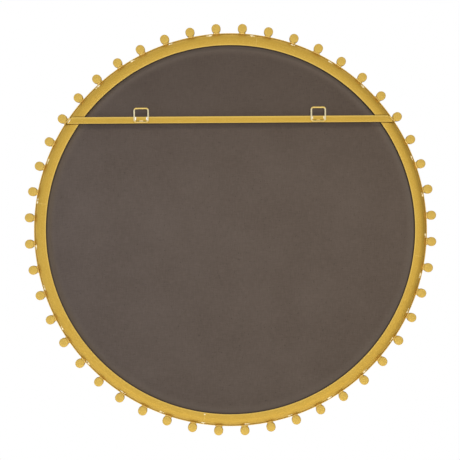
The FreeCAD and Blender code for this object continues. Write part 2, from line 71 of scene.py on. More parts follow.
# %% [markdown]
# ## The camera
#
# The picture is taken square on from behind, from far enough away that the circle stays a circle and the
# slugs show only a little of their sides. A long lens gives that look. Its focal length follows from the
# distance and from the width that the picture shows at the mirror. The mirror hangs under half a degree out
# of level, and turning the camera by that much is simpler than turning every piece.

# %% Camera
CAMERA_DISTANCE = 2.2
PICTURE_WIDTH = 908.3 * MM
CAMERA_ACROSS = 1.0 * MM
CAMERA_UP = -0.65 * MM
CAMERA_ROLL = 0.37

hoop_low, hoop_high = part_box("rim_hoop")
camera = bpy.data.objects.new("camera", bpy.data.cameras.new("camera"))
scene.collection.objects.link(camera)
scene.camera = camera
camera.location = (CAMERA_ACROSS, hoop_high.y + CAMERA_DISTANCE, CAMERA_UP)
camera.rotation_euler = [math.radians(turn) for turn in (90, CAMERA_ROLL, 180)]
camera.data.lens = camera.data.sensor_width * CAMERA_DISTANCE / PICTURE_WIDTH
scene.view_settings.view_transform = "Standard"
print("lens:", round(camera.data.lens, 1), "mm")

# %% [markdown]
# ## Colours and nodes
#
# Shaders add and multiply light, so they work in linear values, while a colour picked from a picture is an
# sRGB value. One function turns the second into the first. A second one adds a node and fills its sockets,
# which keeps each finish below down to a few lines that can be read as a recipe. Some nodes have several
# sockets of one name that only their numbers tell apart, so these numbers get names here. A range, as the
# Map Range node needs it, holds two values of what goes in and the two that they become. Those are 0 and 1
# where nothing else is said.

# %% Colour and node helpers
FACTOR, COLOUR_A, COLOUR_B, MIXED = 0, 6, 7, 2
SHADER_A, SHADER_B = 1, 2
FIRST, SECOND, THIRD = range(3)
VALUE, FROM_LOW, FROM_HIGH, TO_LOW, TO_HIGH = range(5)


def linear(hex_colour):
    """An sRGB colour such as #D6B250 as linear red, green, blue and alpha."""
    shares = [int(hex_colour[start:start + 2], 16) / 255 for start in (1, 3, 5)]
    return (*(s / 12.92 if s <= 0.04045 else ((s + 0.055) / 1.055) ** 2.4 for s in shares), 1.0)


def add_node(tree, kind, sockets=None, **settings):
    """Adds a node, sets its properties, and gives its sockets values or links."""
    node = tree.nodes.new(kind)
    for name, value in settings.items():
        setattr(node, name, value)
    for socket, value in (sockets or {}).items():
        if isinstance(value, bpy.types.NodeSocket):
            tree.links.new(value, node.inputs[socket])
        else:
            node.inputs[socket].default_value = value
    return node


def per(size):
    """The scale of a pattern whose marks are about this far apart, in metres."""
    return 1 / size


print("a middle grey in linear values:", round(linear("#808080")[0], 3))

# %% [markdown]
# ## The studio
#
# A product picture is lit by large soft lamps, here one beside the camera, one above, two at the sides and
# one on the far side of the mirror, over a pale floor. The white ground comes from what the camera sees of
# the world, and not from more light on the mirror. Metal and glass see a pale studio too, but one with a
# bright table below, a dimmer ceiling, a dark screen to one side, a grey curtain to the other, a bright
# backdrop, and a dim room that the glass looks into. Without these a gold ring has nothing to reflect but
# white, and its rounded edge looks flat. The lamps themselves are kept out of reflections, as a photographer
# keeps them out by tilting them.

# %% What metal and glass see
TABLE = {FROM_LOW: -0.2, FROM_HIGH: 0.12, TO_LOW: 1.25, TO_HIGH: 0.8}
SCREEN = {FROM_LOW: -0.95, FROM_HIGH: -0.4, TO_LOW: 0.27, TO_HIGH: 1.0}
CURTAIN = {FROM_LOW: 0.3, FROM_HIGH: 0.9, TO_LOW: 1.0, TO_HIGH: 0.82}
BACKDROP = {FROM_LOW: 0.8, FROM_HIGH: -0.4, TO_LOW: 1.0, TO_HIGH: 1.4}
ROOM = {FROM_LOW: -0.5, FROM_HIGH: -0.95, TO_LOW: 1.0, TO_HIGH: 0.45}

world = bpy.data.worlds.new("studio")
scene.world = world
world.use_nodes = True
tree = world.node_tree
tree.nodes.clear()
direction = add_node(tree, "ShaderNodeTexCoord").outputs["Generated"]
look = add_node(tree, "ShaderNodeSeparateXYZ", {"Vector": direction}).outputs
gains = []
for axis, fade in (("Z", TABLE), ("X", SCREEN), ("X", CURTAIN), ("Y", BACKDROP), ("Y", ROOM)):
    gain = add_node(
        tree, "ShaderNodeMapRange", {VALUE: look[axis], **fade}, interpolation_type="SMOOTHSTEP"
    )
    gains.append(gain.outputs[0])
level = gains[0]
for gain in gains[1:]:
    level = add_node(tree, "ShaderNodeMath", {FIRST: level, SECOND: gain}, operation="MULTIPLY").outputs[0]
print("things that change the light of the walls:", len(gains))

# %% World
FILL_LIGHT = 0.15

ray = add_node(tree, "ShaderNodeLightPath").outputs
shine = add_node(
    tree,
    "ShaderNodeMath",
    {FIRST: ray["Is Glossy Ray"], SECOND: ray["Is Transmission Ray"]},
    operation="MAXIMUM",
)
fill = add_node(tree, "ShaderNodeBackground", {"Color": linear("#FFFFFF"), "Strength": FILL_LIGHT})
walls = add_node(tree, "ShaderNodeBackground", {"Color": linear("#FFFFFF"), "Strength": level})
white = add_node(tree, "ShaderNodeBackground", {"Color": linear("#FFFFFF"), "Strength": 1.0})
lit = add_node(
    tree,
    "ShaderNodeMixShader",
    {FACTOR: shine.outputs[0], SHADER_A: fill.outputs[0], SHADER_B: walls.outputs[0]},
)
seen = add_node(
    tree,
    "ShaderNodeMixShader",
    {FACTOR: ray["Is Camera Ray"], SHADER_A: lit.outputs[0], SHADER_B: white.outputs[0]},
)
add_node(tree, "ShaderNodeOutputWorld", {"Surface": seen.outputs[0]})
print("world nodes:", len(tree.nodes))

# %% Lamps


def add_lamp(name, place, width, height, power, colour):
    """A soft box that looks at the mirror's middle."""
    lamp = bpy.data.lights.new(name, "AREA")
    lamp.shape = "RECTANGLE"
    lamp.size = width
    lamp.size_y = height
    lamp.energy = power
    lamp.color = linear(colour)[:3]
    stand = bpy.data.objects.new(name, lamp)
    scene.collection.objects.link(stand)
    stand.location = place
    stand.rotation_euler = (-Vector(place)).to_track_quat("-Z", "Y").to_euler()
    stand.visible_glossy = False


add_lamp("soft_box_by_camera", (-0.25, 2.5, 0.15), width=1.0, height=0.8, power=36, colour="#FFFCF7")
add_lamp("soft_box_above", (0.0, 2.6, 2.0), width=1.6, height=0.9, power=35, colour="#FFFDF9")
add_lamp("soft_box_left", (1.2, 0.8, 0.0), width=0.4, height=1.0, power=6.5, colour="#A8C4FF")
add_lamp("soft_box_right", (-1.2, 0.8, 0.0), width=0.4, height=1.0, power=1.8, colour="#FFE8D0")
add_lamp("soft_box_front", (-0.9, -2.2, 1.1), width=1.2, height=1.2, power=34, colour="#FFFFFF")
print("lamps:", len(bpy.data.lights))

# %% [markdown]
# ## The floor
#
# The mirror hangs, so the floor lies well below it, out of this picture, and takes only a faint shadow. It is
# a plain sheet, since the world behind it is white too. Its material is a pale matte paint that looks white
# to the camera, nearly so to metal and glass, and still darkens where the mirror keeps light away. Metal sees
# it fade towards the dark screen, which stands on it at one side.

# %% Floor sheet
FLOOR_DROP = 0.6
FLOOR_SIZE = 5.0
FLOOR_SHIFT = 0.25

bpy.ops.object.select_all(action="DESELECT")
bpy.ops.mesh.primitive_plane_add(size=FLOOR_SIZE, location=(0, FLOOR_SHIFT, CAD_BOX[0].z - FLOOR_DROP))
floor = bpy.context.object
floor.name = "floor"
print("floor at", round(floor.location.z, 3), "m")

# %% Floor paint
FLOOR_ROUGHNESS = 0.9
FLOOR_GLOW = 0.85
FLOOR_SHINE = {FROM_LOW: -1.8, FROM_HIGH: -0.3, TO_LOW: 0.1, TO_HIGH: 0.66}

paint = bpy.data.materials.new("pale_floor_paint")
paint.use_nodes = True
tree = paint.node_tree
matte = tree.nodes["Principled BSDF"]
matte.inputs["Base Color"].default_value = linear("#F2F2F0")
matte.inputs["Roughness"].default_value = FLOOR_ROUGHNESS
matte.inputs["Emission Color"].default_value = linear("#FFFFFF")
ray = add_node(tree, "ShaderNodeLightPath").outputs
shine = add_node(
    tree,
    "ShaderNodeMath",
    {FIRST: ray["Is Glossy Ray"], SECOND: ray["Is Transmission Ray"]},
    operation="MAXIMUM",
)
place = add_node(tree, "ShaderNodeTexCoord").outputs["Object"]
across = add_node(tree, "ShaderNodeSeparateXYZ", {"Vector": place}).outputs["X"]
fading = add_node(
    tree, "ShaderNodeMapRange", {VALUE: across, **FLOOR_SHINE}, interpolation_type="SMOOTHSTEP"
)
mirrored = add_node(
    tree, "ShaderNodeMath", {FIRST: shine.outputs[0], SECOND: fading.outputs[0]}, operation="MULTIPLY"
)
glow = add_node(
    tree,
    "ShaderNodeMath",
    {FIRST: ray["Is Camera Ray"], SECOND: FLOOR_GLOW, THIRD: mirrored.outputs[0]},
    operation="MULTIPLY_ADD",
)
tree.links.new(glow.outputs[0], matte.inputs["Emission Strength"])
floor.data.materials.append(paint)
print("finish:", paint.name)

# %% [markdown]
# ## Gold lacquer
#
# The frame is mild steel, sprayed with a gold lacquer: fine metal flakes in a clear binder. That gives a soft
# sheen with no sharp reflections, a colour that drifts a little from place to place as a spray coat does, and
# a faint orange peel. The strip and the bar were rolled and the slugs turned, and their lines still show
# through a thin coat. A material with only one gold would look like plastic, so the recipe has all of these:
# clouds of tone, lines that follow the piece, flakes, and a bump for the peel. Real flakes are under 0.1 mm,
# and these are drawn at 1.4 mm, because finer ones would not show. Paler bands are painted along some edges,
# as painted highlights where the edges catch the light, and a faint one over the ring's flat, as painted
# light.
# Most values of a noise lie between 0.3 and 0.7, so that is the range to stretch.

# %% A new finish


def new_finish(name, plain):
    """A material, its node tree and shader, and the place that its patterns read."""
    finish = bpy.data.materials.new(name)
    finish.use_nodes = True
    shader = finish.node_tree.nodes["Principled BSDF"]
    for socket, value in plain.items():
        shader.inputs[socket].default_value = value
    place = add_node(finish.node_tree, "ShaderNodeTexCoord").outputs["Object"]
    return finish, finish.node_tree, shader, place


# %% Recipe for gold lacquer
NOISE = {FROM_LOW: 0.3, FROM_HIGH: 0.7}
LINE_SPACING = 1.8 * MM
LINE_SHARE = {**NOISE, TO_HIGH: 0.22}
FLAKE_SIZE = 1.4 * MM
FLAKE_SHARE = {FROM_LOW: 0.52, FROM_HIGH: 0.75, TO_HIGH: 0.35}
LACQUER_ROUGHNESS = {**NOISE, TO_LOW: 0.42, TO_HIGH: 0.52}
PEEL_SIZE = 2.6 * MM
PEEL_DEPTH = 0.06 * MM


def gold_lacquer(name, tones, patch, across, middle, pale_bands):
    """Sprayed gold lacquer in patches of two tones. The steel's lines run where the distance from a middle,
    along some axes only, stays the same. Each pale band, a range of that distance, says where a paler colour
    is painted in: a painted highlight or painted light."""
    finish, tree, shader, place = new_finish(name, {"Metallic": 0.65, "Specular IOR Level": 0.25})
    clouds = add_node(tree, "ShaderNodeTexNoise", {"Vector": place, "Scale": per(patch), "Detail": 3})
    flakes = add_node(tree, "ShaderNodeTexNoise", {"Vector": place, "Scale": per(FLAKE_SIZE), "Detail": 1})
    peel = add_node(tree, "ShaderNodeTexNoise", {"Vector": place, "Scale": per(PEEL_SIZE), "Detail": 2})
    offset = add_node(tree, "ShaderNodeVectorMath", {FIRST: place, SECOND: middle}, operation="SUBTRACT")
    along = add_node(
        tree, "ShaderNodeVectorMath", {FIRST: offset.outputs[0], SECOND: across}, operation="MULTIPLY"
    )
    length = add_node(tree, "ShaderNodeVectorMath", {FIRST: along.outputs[0]}, operation="LENGTH")
    distance = length.outputs["Value"]
    lines = add_node(
        tree,
        "ShaderNodeTexNoise",
        {"W": distance, "Scale": per(LINE_SPACING), "Detail": 2},
        noise_dimensions="1D",
    )
    tone = add_node(
        tree,
        "ShaderNodeMix",
        {FACTOR: clouds.outputs["Fac"], COLOUR_A: linear(tones[0]), COLOUR_B: linear(tones[1])},
        data_type="RGBA",
    )
    layers = [(lines.outputs["Fac"], LINE_SHARE, "#AF8730"), (flakes.outputs["Fac"], FLAKE_SHARE, "#E2C26A")]
    # pale bands: painted highlights along edges, and painted light over the ring's flat
    layers += [(distance, edge, "#E6C364") for edge in pale_bands]
    for value, fade, colour in layers:
        share = add_node(tree, "ShaderNodeMapRange", {VALUE: value, **fade})
        tone = add_node(
            tree,
            "ShaderNodeMix",
            {FACTOR: share.outputs[0], COLOUR_A: tone.outputs[MIXED], COLOUR_B: linear(colour)},
            data_type="RGBA",
        )
    dull = add_node(tree, "ShaderNodeMapRange", {VALUE: clouds.outputs["Fac"], **LACQUER_ROUGHNESS})
    bump = add_node(
        tree, "ShaderNodeBump", {"Height": peel.outputs["Fac"], "Strength": 0.5, "Distance": PEEL_DEPTH}
    )
    tree.links.new(tone.outputs[MIXED], shader.inputs["Base Color"])
    tree.links.new(dull.outputs[0], shader.inputs["Roughness"])
    tree.links.new(bump.outputs["Normal"], shader.inputs["Normal"])
    return finish


# %% Gold lacquer on sheet, strip, bar and slugs
# The middle of the bar's pale bands sits low, so the painted highlight is stronger along the upper edge,
# where the light falls from above.
BAR_HIGHLIGHT_DROP = Vector((0, 0, 0.8 * MM))

bar_low, bar_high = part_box("hanging_bar")
bar_middle = (bar_low + bar_high) / 2
bead_low, bead_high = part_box("edge_bead_01")
ring_gold = gold_lacquer(
    "gold_lacquer_on_rolled_ring",
    ("#C29B3B", "#CDA747"),
    patch=70 * MM,
    across=(1, 0, 1),
    middle=(0, 0, 0),
    pale_bands=(
        # painted light over the flat, then painted highlights along the hole's edge and along the outer edge
        {FROM_LOW: 376.0 * MM, FROM_HIGH: 368.0 * MM, TO_HIGH: 0.08},
        {FROM_LOW: 366.5 * MM, FROM_HIGH: 364.0 * MM, TO_HIGH: 0.6},
        {FROM_LOW: 382.5 * MM, FROM_HIGH: 386.0 * MM, TO_HIGH: 0.5},
    ),
)
hoop_gold = gold_lacquer(
    "gold_lacquer_on_strip_hoop",
    ("#C29B3B", "#CDA747"),
    patch=70 * MM,
    across=(0, 1, 0),
    middle=(0, hoop_high.y, 0),
    # a painted highlight along the strip's back edge
    pale_bands=({FROM_LOW: 2.0 * MM, FROM_HIGH: 0.4 * MM, TO_HIGH: 0.5},),
)
bar_gold = gold_lacquer(
    "gold_lacquer_on_flat_bar",
    ("#C9A240", "#D4AE4D"),
    patch=50 * MM,
    across=(0, 0, 1),
    middle=bar_middle - BAR_HIGHLIGHT_DROP,
    # painted highlights along both long edges of the bar, stronger along the upper one
    pale_bands=({FROM_LOW: 3.6 * MM, FROM_HIGH: 6.2 * MM, TO_HIGH: 0.75},),
)
bead_gold = gold_lacquer(
    "gold_lacquer_on_turned_slug",
    ("#AA8632", "#C4A047"),
    patch=8 * MM,
    across=(0, 1, 0),
    middle=(bead_low + bead_high) / 2,
    # a painted highlight along the slug's back edge
    pale_bands=({FROM_LOW: 8.0 * MM, FROM_HIGH: 8.5 * MM, TO_HIGH: 0.5},),
)
print("finishes:", ring_gold.name, hoop_gold.name, bar_gold.name, bead_gold.name)

# %% [markdown]
# ## Bright welds and wire
#
# On a weld the lacquer has little to hold on to, so the bright bead of steel shows through as pale spots,
# smoother and shinier than the sheet round them. Their palest colours are painted glints as well, which stand
# in for the highlights that small welds catch. Three finishes for welds share one recipe: a pale gold, a low
# roughness, and a thicker film in patches. The upright sides of the drawn wire of the loops are painted pale,
# a painted sheen for the light that they catch from the sides, and the wire keeps its gold above and below.
# So its colour follows the height from the loop's middle.

# %% Bright gold
FILM = {FROM_LOW: 0.45, FROM_HIGH: 0.75}
FILM_DULLING = 0.15


def bright_gold(name, thin, thick, patch, roughness, metal):
    """Lacquer that is thin over bright steel, with thicker patches of a given size. A pale thin colour is
    partly bare steel and partly a painted glint.
    """
    plain = {"Metallic": metal, "Coat Weight": 0.5, "Coat Roughness": 0.1}
    finish, tree, shader, place = new_finish(name, plain)
    film = add_node(tree, "ShaderNodeTexNoise", {"Vector": place, "Scale": per(patch), "Detail": 2})
    share = add_node(tree, "ShaderNodeMapRange", {VALUE: film.outputs["Fac"], **FILM})
    tone = add_node(
        tree,
        "ShaderNodeMix",
        {FACTOR: share.outputs[0], COLOUR_A: linear(thin), COLOUR_B: linear(thick)},
        data_type="RGBA",
    )
    dull = add_node(
        tree,
        "ShaderNodeMapRange",
        {VALUE: share.outputs[0], TO_LOW: roughness, TO_HIGH: roughness + FILM_DULLING},
    )
    tree.links.new(tone.outputs[MIXED], shader.inputs["Base Color"])
    tree.links.new(dull.outputs[0], shader.inputs["Roughness"])
    return finish


# near white welds: painted glints, partly bare steel
spot_glint_gold = bright_gold("weld_spot_painted_glint", "#FFFCF2", "#FAF1D6", patch=4 * MM, roughness=0.2, metal=0.0)
weld_gold = bright_gold(
    "thin_lacquer_and_painted_glint_on_weld", "#F6E8BE", "#DDBF70", patch=5 * MM, roughness=0.25, metal=0.3
)
bead_weld_gold = bright_gold(
    "lacquer_on_bead_weld", "#E6C46A", "#D7B056", patch=6 * MM, roughness=0.4, metal=0.5
)
print("finishes:", spot_glint_gold.name, weld_gold.name, bead_weld_gold.name)

# %% Drawn wire
SIDE_SHEEN_REACH = {FROM_LOW: 10 * MM, FROM_HIGH: 12.5 * MM}
SCUFF_SIZE = 3 * MM
WIRE_ROUGHNESS = {**NOISE, TO_LOW: 0.27, TO_HIGH: 0.34}

loop_low, loop_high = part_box("hang_loop_left")
loop_middle = (loop_low + loop_high) / 2
wire_plain = {"Metallic": 0.35, "Coat Weight": 0.4}
wire_gold, tree, shader, place = new_finish("lacquer_with_painted_sheen_on_drawn_wire", wire_plain)
height = add_node(tree, "ShaderNodeSeparateXYZ", {"Vector": place}).outputs["Z"]
offset = add_node(tree, "ShaderNodeMath", {FIRST: height, SECOND: loop_middle.z}, operation="SUBTRACT")
away = add_node(tree, "ShaderNodeMath", {FIRST: offset.outputs[0]}, operation="ABSOLUTE")
# painted sheen: the upright sides are painted pale for the light that they catch, and the upper and lower
# wire stay gold
coat = add_node(tree, "ShaderNodeMapRange", {VALUE: away.outputs[0], **SIDE_SHEEN_REACH})
tone = add_node(
    tree,
    "ShaderNodeMix",
    {FACTOR: coat.outputs[0], COLOUR_A: linear("#DDD1A8"), COLOUR_B: linear("#DDBC62")},
    data_type="RGBA",
)
scuffs = add_node(tree, "ShaderNodeTexNoise", {"Vector": place, "Scale": per(SCUFF_SIZE), "Detail": 2})
dull = add_node(tree, "ShaderNodeMapRange", {VALUE: scuffs.outputs["Fac"], **WIRE_ROUGHNESS})
tree.links.new(tone.outputs[MIXED], shader.inputs["Base Color"])
tree.links.new(dull.outputs[0], shader.inputs["Roughness"])
print("finish:", wire_gold.name)

# %% [markdown]
# The corner where the lower wire of a loop lies on the bar is in shade, and that shade is painted in as a
# dark line. It crosses two pieces with two finishes, and so it is added to both of them, at one height and
# out to the same distance from a loop's middle. The ring has such a painted shadow too, along both edges of
# the bar that crosses it.

# %% Painted shade in the corners
LOOP_SHADE_MOST = 0.72
LOOP_SHADE_RISE = 3.3 * MM
LOOP_SHADE_HALF = (0.7 * MM, 1.5 * MM)
LOOP_SHADE_REACH = (9.6 * MM, 10.8 * MM)
BAR_SHADE_MOST = 0.7
BAR_SHADE_REACH = (1.2 * MM, 2.4 * MM)


def paint_shade(finish, most, *bands):
    """Paints shade into a finish where all bands meet. A band is an axis, a middle on it, and how far from
    there, on either side, the painted shade starts to fade and ends. The left half's X is used on both sides
    of the part."""
    tree = finish.node_tree
    colour = tree.nodes["Principled BSDF"].inputs["Base Color"]
    unshaded = colour.links[0].from_socket
    place = add_node(tree, "ShaderNodeTexCoord").outputs["Object"]
    axes = add_node(tree, "ShaderNodeSeparateXYZ", {"Vector": place}).outputs
    side = add_node(tree, "ShaderNodeMath", {FIRST: axes["X"]}, operation="ABSOLUTE").outputs[0]
    shares = []
    for axis, middle, (fade, edge) in bands:
        value = side if axis == "X" else axes[axis]
        offset = add_node(tree, "ShaderNodeMath", {FIRST: value, SECOND: middle}, operation="SUBTRACT")
        away = add_node(tree, "ShaderNodeMath", {FIRST: offset.outputs[0]}, operation="ABSOLUTE")
        fading = {FROM_LOW: fade, FROM_HIGH: edge, TO_LOW: 1.0 if shares else most, TO_HIGH: 0.0}
        share = add_node(tree, "ShaderNodeMapRange", {VALUE: away.outputs[0], **fading})
        shares.append(share.outputs[0])
    shade = shares[0]
    for share in shares[1:]:
        shade = add_node(tree, "ShaderNodeMath", {FIRST: shade, SECOND: share}, operation="MULTIPLY").outputs[0]
    # mixes in the dark colour of the painted shade
    shaded = add_node(
        tree,
        "ShaderNodeMix",
        {FACTOR: shade, COLOUR_A: unshaded, COLOUR_B: linear("#5C451C")},
        data_type="RGBA",
    )
    tree.links.new(shaded.outputs[MIXED], colour)


# painted shade where the lower wire of a loop lies on the bar
shade_height = loop_low.z + LOOP_SHADE_RISE
loop_corner = (("Z", shade_height, LOOP_SHADE_HALF), ("X", loop_middle.x, LOOP_SHADE_REACH))
for finish in (bar_gold, wire_gold):
    paint_shade(finish, LOOP_SHADE_MOST, *loop_corner)
bar_half = (bar_high.z - bar_low.z) / 2
# painted shadow on the ring along both edges of the bar
paint_shade(ring_gold, BAR_SHADE_MOST, ("Z", bar_middle.z, [bar_half + reach for reach in BAR_SHADE_REACH]))
print("dirt under the loops at", round(shade_height, 4), "m")

# %% [markdown]
# ## Backing board
#
# The board is thin fibreboard with a brown paper face. It is matte, and from close up it shows short fibres,
# a few darker flecks and broad faint clouds where the paper took up glue. Long thin noise makes the fibres,
# one set along each way of the sheet. Paper fibres are far finer than a millimetre, and these are drawn
# 1.5 mm wide to show at all. The board is painted darker towards the top, as painted shade, and paler along
# the rim, as painted light that lifts the shade under the ring's overhang. A painted shadow fills the last
# few millimetres, under the ring's edge.

# %% Clouds, flecks and fibres of the board
CLOUD_SIZE = 90 * MM
FIBRE_WIDTH = 1.5 * MM
FIBRE_STRETCH = 0.12
FLECK_SIZE = 3 * MM

board_brown, tree, shader, place = new_finish("brown_paper_faced_fibreboard", {"Specular IOR Level": 0.1})
clouds = add_node(tree, "ShaderNodeTexNoise", {"Vector": place, "Scale": per(CLOUD_SIZE), "Detail": 4})
flecks = add_node(tree, "ShaderNodeTexNoise", {"Vector": place, "Scale": per(FLECK_SIZE), "Detail": 1})
fibres = []
for stretch in ((FIBRE_STRETCH, 1, 1), (1, 1, FIBRE_STRETCH)):
    stretched = add_node(tree, "ShaderNodeMapping", {"Vector": place, "Scale": stretch})
    noise = add_node(
        tree, "ShaderNodeTexNoise", {"Vector": stretched.outputs[0], "Scale": per(FIBRE_WIDTH), "Detail": 2}
    )
    fibres.append(noise.outputs["Fac"])
weave = add_node(tree, "ShaderNodeMath", {FIRST: fibres[0], SECOND: fibres[1]}, operation="MULTIPLY")
print("finish:", board_brown.name)

# %% Colours of the board
FIBRE_HEIGHT = 0.08 * MM
FIBRES = {FROM_LOW: 0.12, FROM_HIGH: 0.4}
FIBRE_SHARE = {**FIBRES, TO_HIGH: 0.4}
BOARD_ROUGHNESS = {**FIBRES, TO_LOW: 0.88, TO_HIGH: 0.74}
FLECK_SHARE = {FROM_LOW: 0.66, FROM_HIGH: 0.78, TO_HIGH: 0.5}
# painted shade: the board darkens towards the top
TOP_SHADE_SHARE = {FROM_LOW: 80 * MM, FROM_HIGH: 320 * MM, TO_HIGH: 0.33}
# painted light: the board gets paler towards the rim, under the ring's overhang
RIM_LIGHT_SHARE = {FROM_LOW: 343 * MM, FROM_HIGH: 366 * MM, TO_HIGH: 0.5}
# painted shadow: a dark line in the last millimetres, under the ring's edge
LIP_SHADOW_SHARE = {FROM_LOW: 361.6 * MM, FROM_HIGH: 363.4 * MM, TO_HIGH: 0.5}

height = add_node(tree, "ShaderNodeSeparateXYZ", {"Vector": place}).outputs["Z"]
flat = add_node(tree, "ShaderNodeVectorMath", {FIRST: place, SECOND: (1, 0, 1)}, operation="MULTIPLY")
radius = add_node(tree, "ShaderNodeVectorMath", {FIRST: flat.outputs[0]}, operation="LENGTH")
cloud_share = add_node(tree, "ShaderNodeMapRange", {VALUE: clouds.outputs["Fac"], **NOISE})
tone = add_node(
    tree,
    "ShaderNodeMix",
    {FACTOR: cloud_share.outputs[0], COLOUR_A: linear("#51473F"), COLOUR_B: linear("#574D45")},
    data_type="RGBA",
)
for value, fade, blend, colour in (
    (weave.outputs[0], FIBRE_SHARE, "LINEAR", "#645950"),
    (flecks.outputs["Fac"], FLECK_SHARE, "LINEAR", "#3E3630"),
    (height, TOP_SHADE_SHARE, "SMOOTHSTEP", "#413832"),
    (radius.outputs["Value"], RIM_LIGHT_SHARE, "SMOOTHSTEP", "#73685D"),
    (radius.outputs["Value"], LIP_SHADOW_SHARE, "LINEAR", "#2A221D"),
):
    share = add_node(tree, "ShaderNodeMapRange", {VALUE: value, **fade}, interpolation_type=blend)
    tone = add_node(
        tree,
        "ShaderNodeMix",
        {FACTOR: share.outputs[0], COLOUR_A: tone.outputs[MIXED], COLOUR_B: linear(colour)},
        data_type="RGBA",
    )
dull = add_node(tree, "ShaderNodeMapRange", {VALUE: weave.outputs[0], **BOARD_ROUGHNESS})
bump = add_node(
    tree, "ShaderNodeBump", {"Height": weave.outputs[0], "Strength": 0.4, "Distance": FIBRE_HEIGHT}
)
tree.links.new(tone.outputs[MIXED], shader.inputs["Base Color"])
tree.links.new(dull.outputs[0], shader.inputs["Roughness"])
tree.links.new(bump.outputs["Normal"], shader.inputs["Normal"])
print("nodes in the finish of the board:", len(tree.nodes))

# %% [markdown]
# ## Glass, mastic and sealant
#
# A mirror is clear float glass with silver behind it. Seen from the front the silver is all that counts, so
# the faces are a smooth bright metal, with a breath of haze from handling, and only the ground edge is green
# glass. The mastic between board and glass is a beige paste, and the sealant a cloudy silicone.

# %% Silver, glass edge, mastic and sealant


def mottled(name, plain, colours, patch, rough):
    """A finish that drifts between two colours and two roughnesses, in patches of a given size."""
    finish, tree, shader, place = new_finish(name, plain)
    noise = add_node(tree, "ShaderNodeTexNoise", {"Vector": place, "Scale": per(patch), "Detail": 3})
    share = add_node(tree, "ShaderNodeMapRange", {VALUE: noise.outputs["Fac"], **NOISE})
    tone = add_node(
        tree,
        "ShaderNodeMix",
        {FACTOR: share.outputs[0], COLOUR_A: linear(colours[0]), COLOUR_B: linear(colours[1])},
        data_type="RGBA",
    )
    dull = add_node(
        tree, "ShaderNodeMapRange", {VALUE: share.outputs[0], TO_LOW: rough[0], TO_HIGH: rough[1]}
    )
    tree.links.new(tone.outputs[MIXED], shader.inputs["Base Color"])
    tree.links.new(dull.outputs[0], shader.inputs["Roughness"])
    return finish


silver = mottled(
    "silvered_float_glass", {"Metallic": 1.0}, ("#E4E9E8", "#E9EDEC"), patch=120 * MM, rough=(0.01, 0.03)
)
glass_edge = mottled(
    "ground_glass_edge", {"IOR": 1.52}, ("#8FB3A4", "#A6C4B7"), patch=15 * MM, rough=(0.25, 0.4)
)
mastic = mottled("beige_mastic", {}, ("#9C9280", "#AFA591"), patch=12 * MM, rough=(0.55, 0.75))
sealant = mottled(
    "cloudy_silicone", {"Coat Weight": 0.3}, ("#8E8983", "#A29D96"), patch=18 * MM, rough=(0.35, 0.5)
)
print("finishes:", silver.name, glass_edge.name, mastic.name, sealant.name)

# %% [markdown]
# ## Drawing an outline and turning it
#
# Most of this mirror is round, so most pieces start as half a section, drawn as a line of points and then
# spun about an axis, as on a lathe. The line starts from one point: a small plane whose corners are merged.
# Extruding a point draws a straight edge, and spinning a point about a centre draws a bend. What there is
# more than one of is modelled once and copied, and each copy has a mesh of its own.

# %% Outline helpers
MERGE_GAP = 0.002 * MM


def leave_edit():
    """Back to object mode with nothing selected, so that an operator can't touch another piece."""
    if bpy.context.object and bpy.context.object.mode != "OBJECT":
        bpy.ops.object.mode_set(mode="OBJECT")
    bpy.ops.object.select_all(action="DESELECT")


def start_point(name, *place):
    """A new piece in edit mode that holds one selected point."""
    leave_edit()
    bpy.ops.mesh.primitive_plane_add(size=MM)
    piece = bpy.context.object
    piece.name = name
    bpy.ops.object.mode_set(mode="EDIT")
    bpy.ops.mesh.merge(type="CENTER")
    bpy.ops.transform.translate(value=place)
    return piece


def draw_line(*step):
    """A straight edge from the selected point."""
    bpy.ops.mesh.extrude_region_move(TRANSFORM_OT_translate={"value": step})


def draw_bend(centre, degrees, steps):
    """A round edge from the selected point, clockwise about a centre as seen from above."""
    bpy.ops.mesh.spin(steps=steps, angle=math.radians(degrees), center=centre, axis=(0, 0, 1))


def close_up():
    """Joins points that meet, turns the faces outwards and leaves edit mode."""
    bpy.ops.mesh.select_all(action="SELECT")
    bpy.ops.mesh.remove_doubles(threshold=MERGE_GAP)
    bpy.ops.mesh.normals_make_consistent(inside=False)
    bpy.ops.object.mode_set(mode="OBJECT")


def turn_about(middle, steps):
    """Spins the whole outline once about an axis along Y."""
    bpy.ops.mesh.select_all(action="SELECT")
    bpy.ops.mesh.spin(steps=steps, angle=math.tau, center=middle, axis=(0, 1, 0))
    close_up()


# %% Piece helpers
SMOOTH_ANGLE = math.radians(38)


def apply_modifier(piece, kind, **settings):
    """Adds a modifier to a piece and makes its result the piece's own mesh."""
    leave_edit()
    bpy.context.view_layer.objects.active = piece
    modifier = piece.modifiers.new(kind.lower(), kind)
    for name, value in settings.items():
        setattr(modifier, name, value)
    bpy.ops.object.modifier_apply(modifier=modifier.name)


def copy_piece(piece, name):
    """A second piece of the same shape, with a mesh of its own."""
    other = piece.copy()
    other.data = piece.data.copy()
    other.name = name
    scene.collection.objects.link(other)
    return other


def join_pieces(name, pieces):
    """Makes one piece of many."""
    leave_edit()
    for piece in pieces:
        piece.select_set(True)
    bpy.context.view_layer.objects.active = pieces[0]
    bpy.ops.object.join()
    pieces[0].name = name
    return pieces[0]


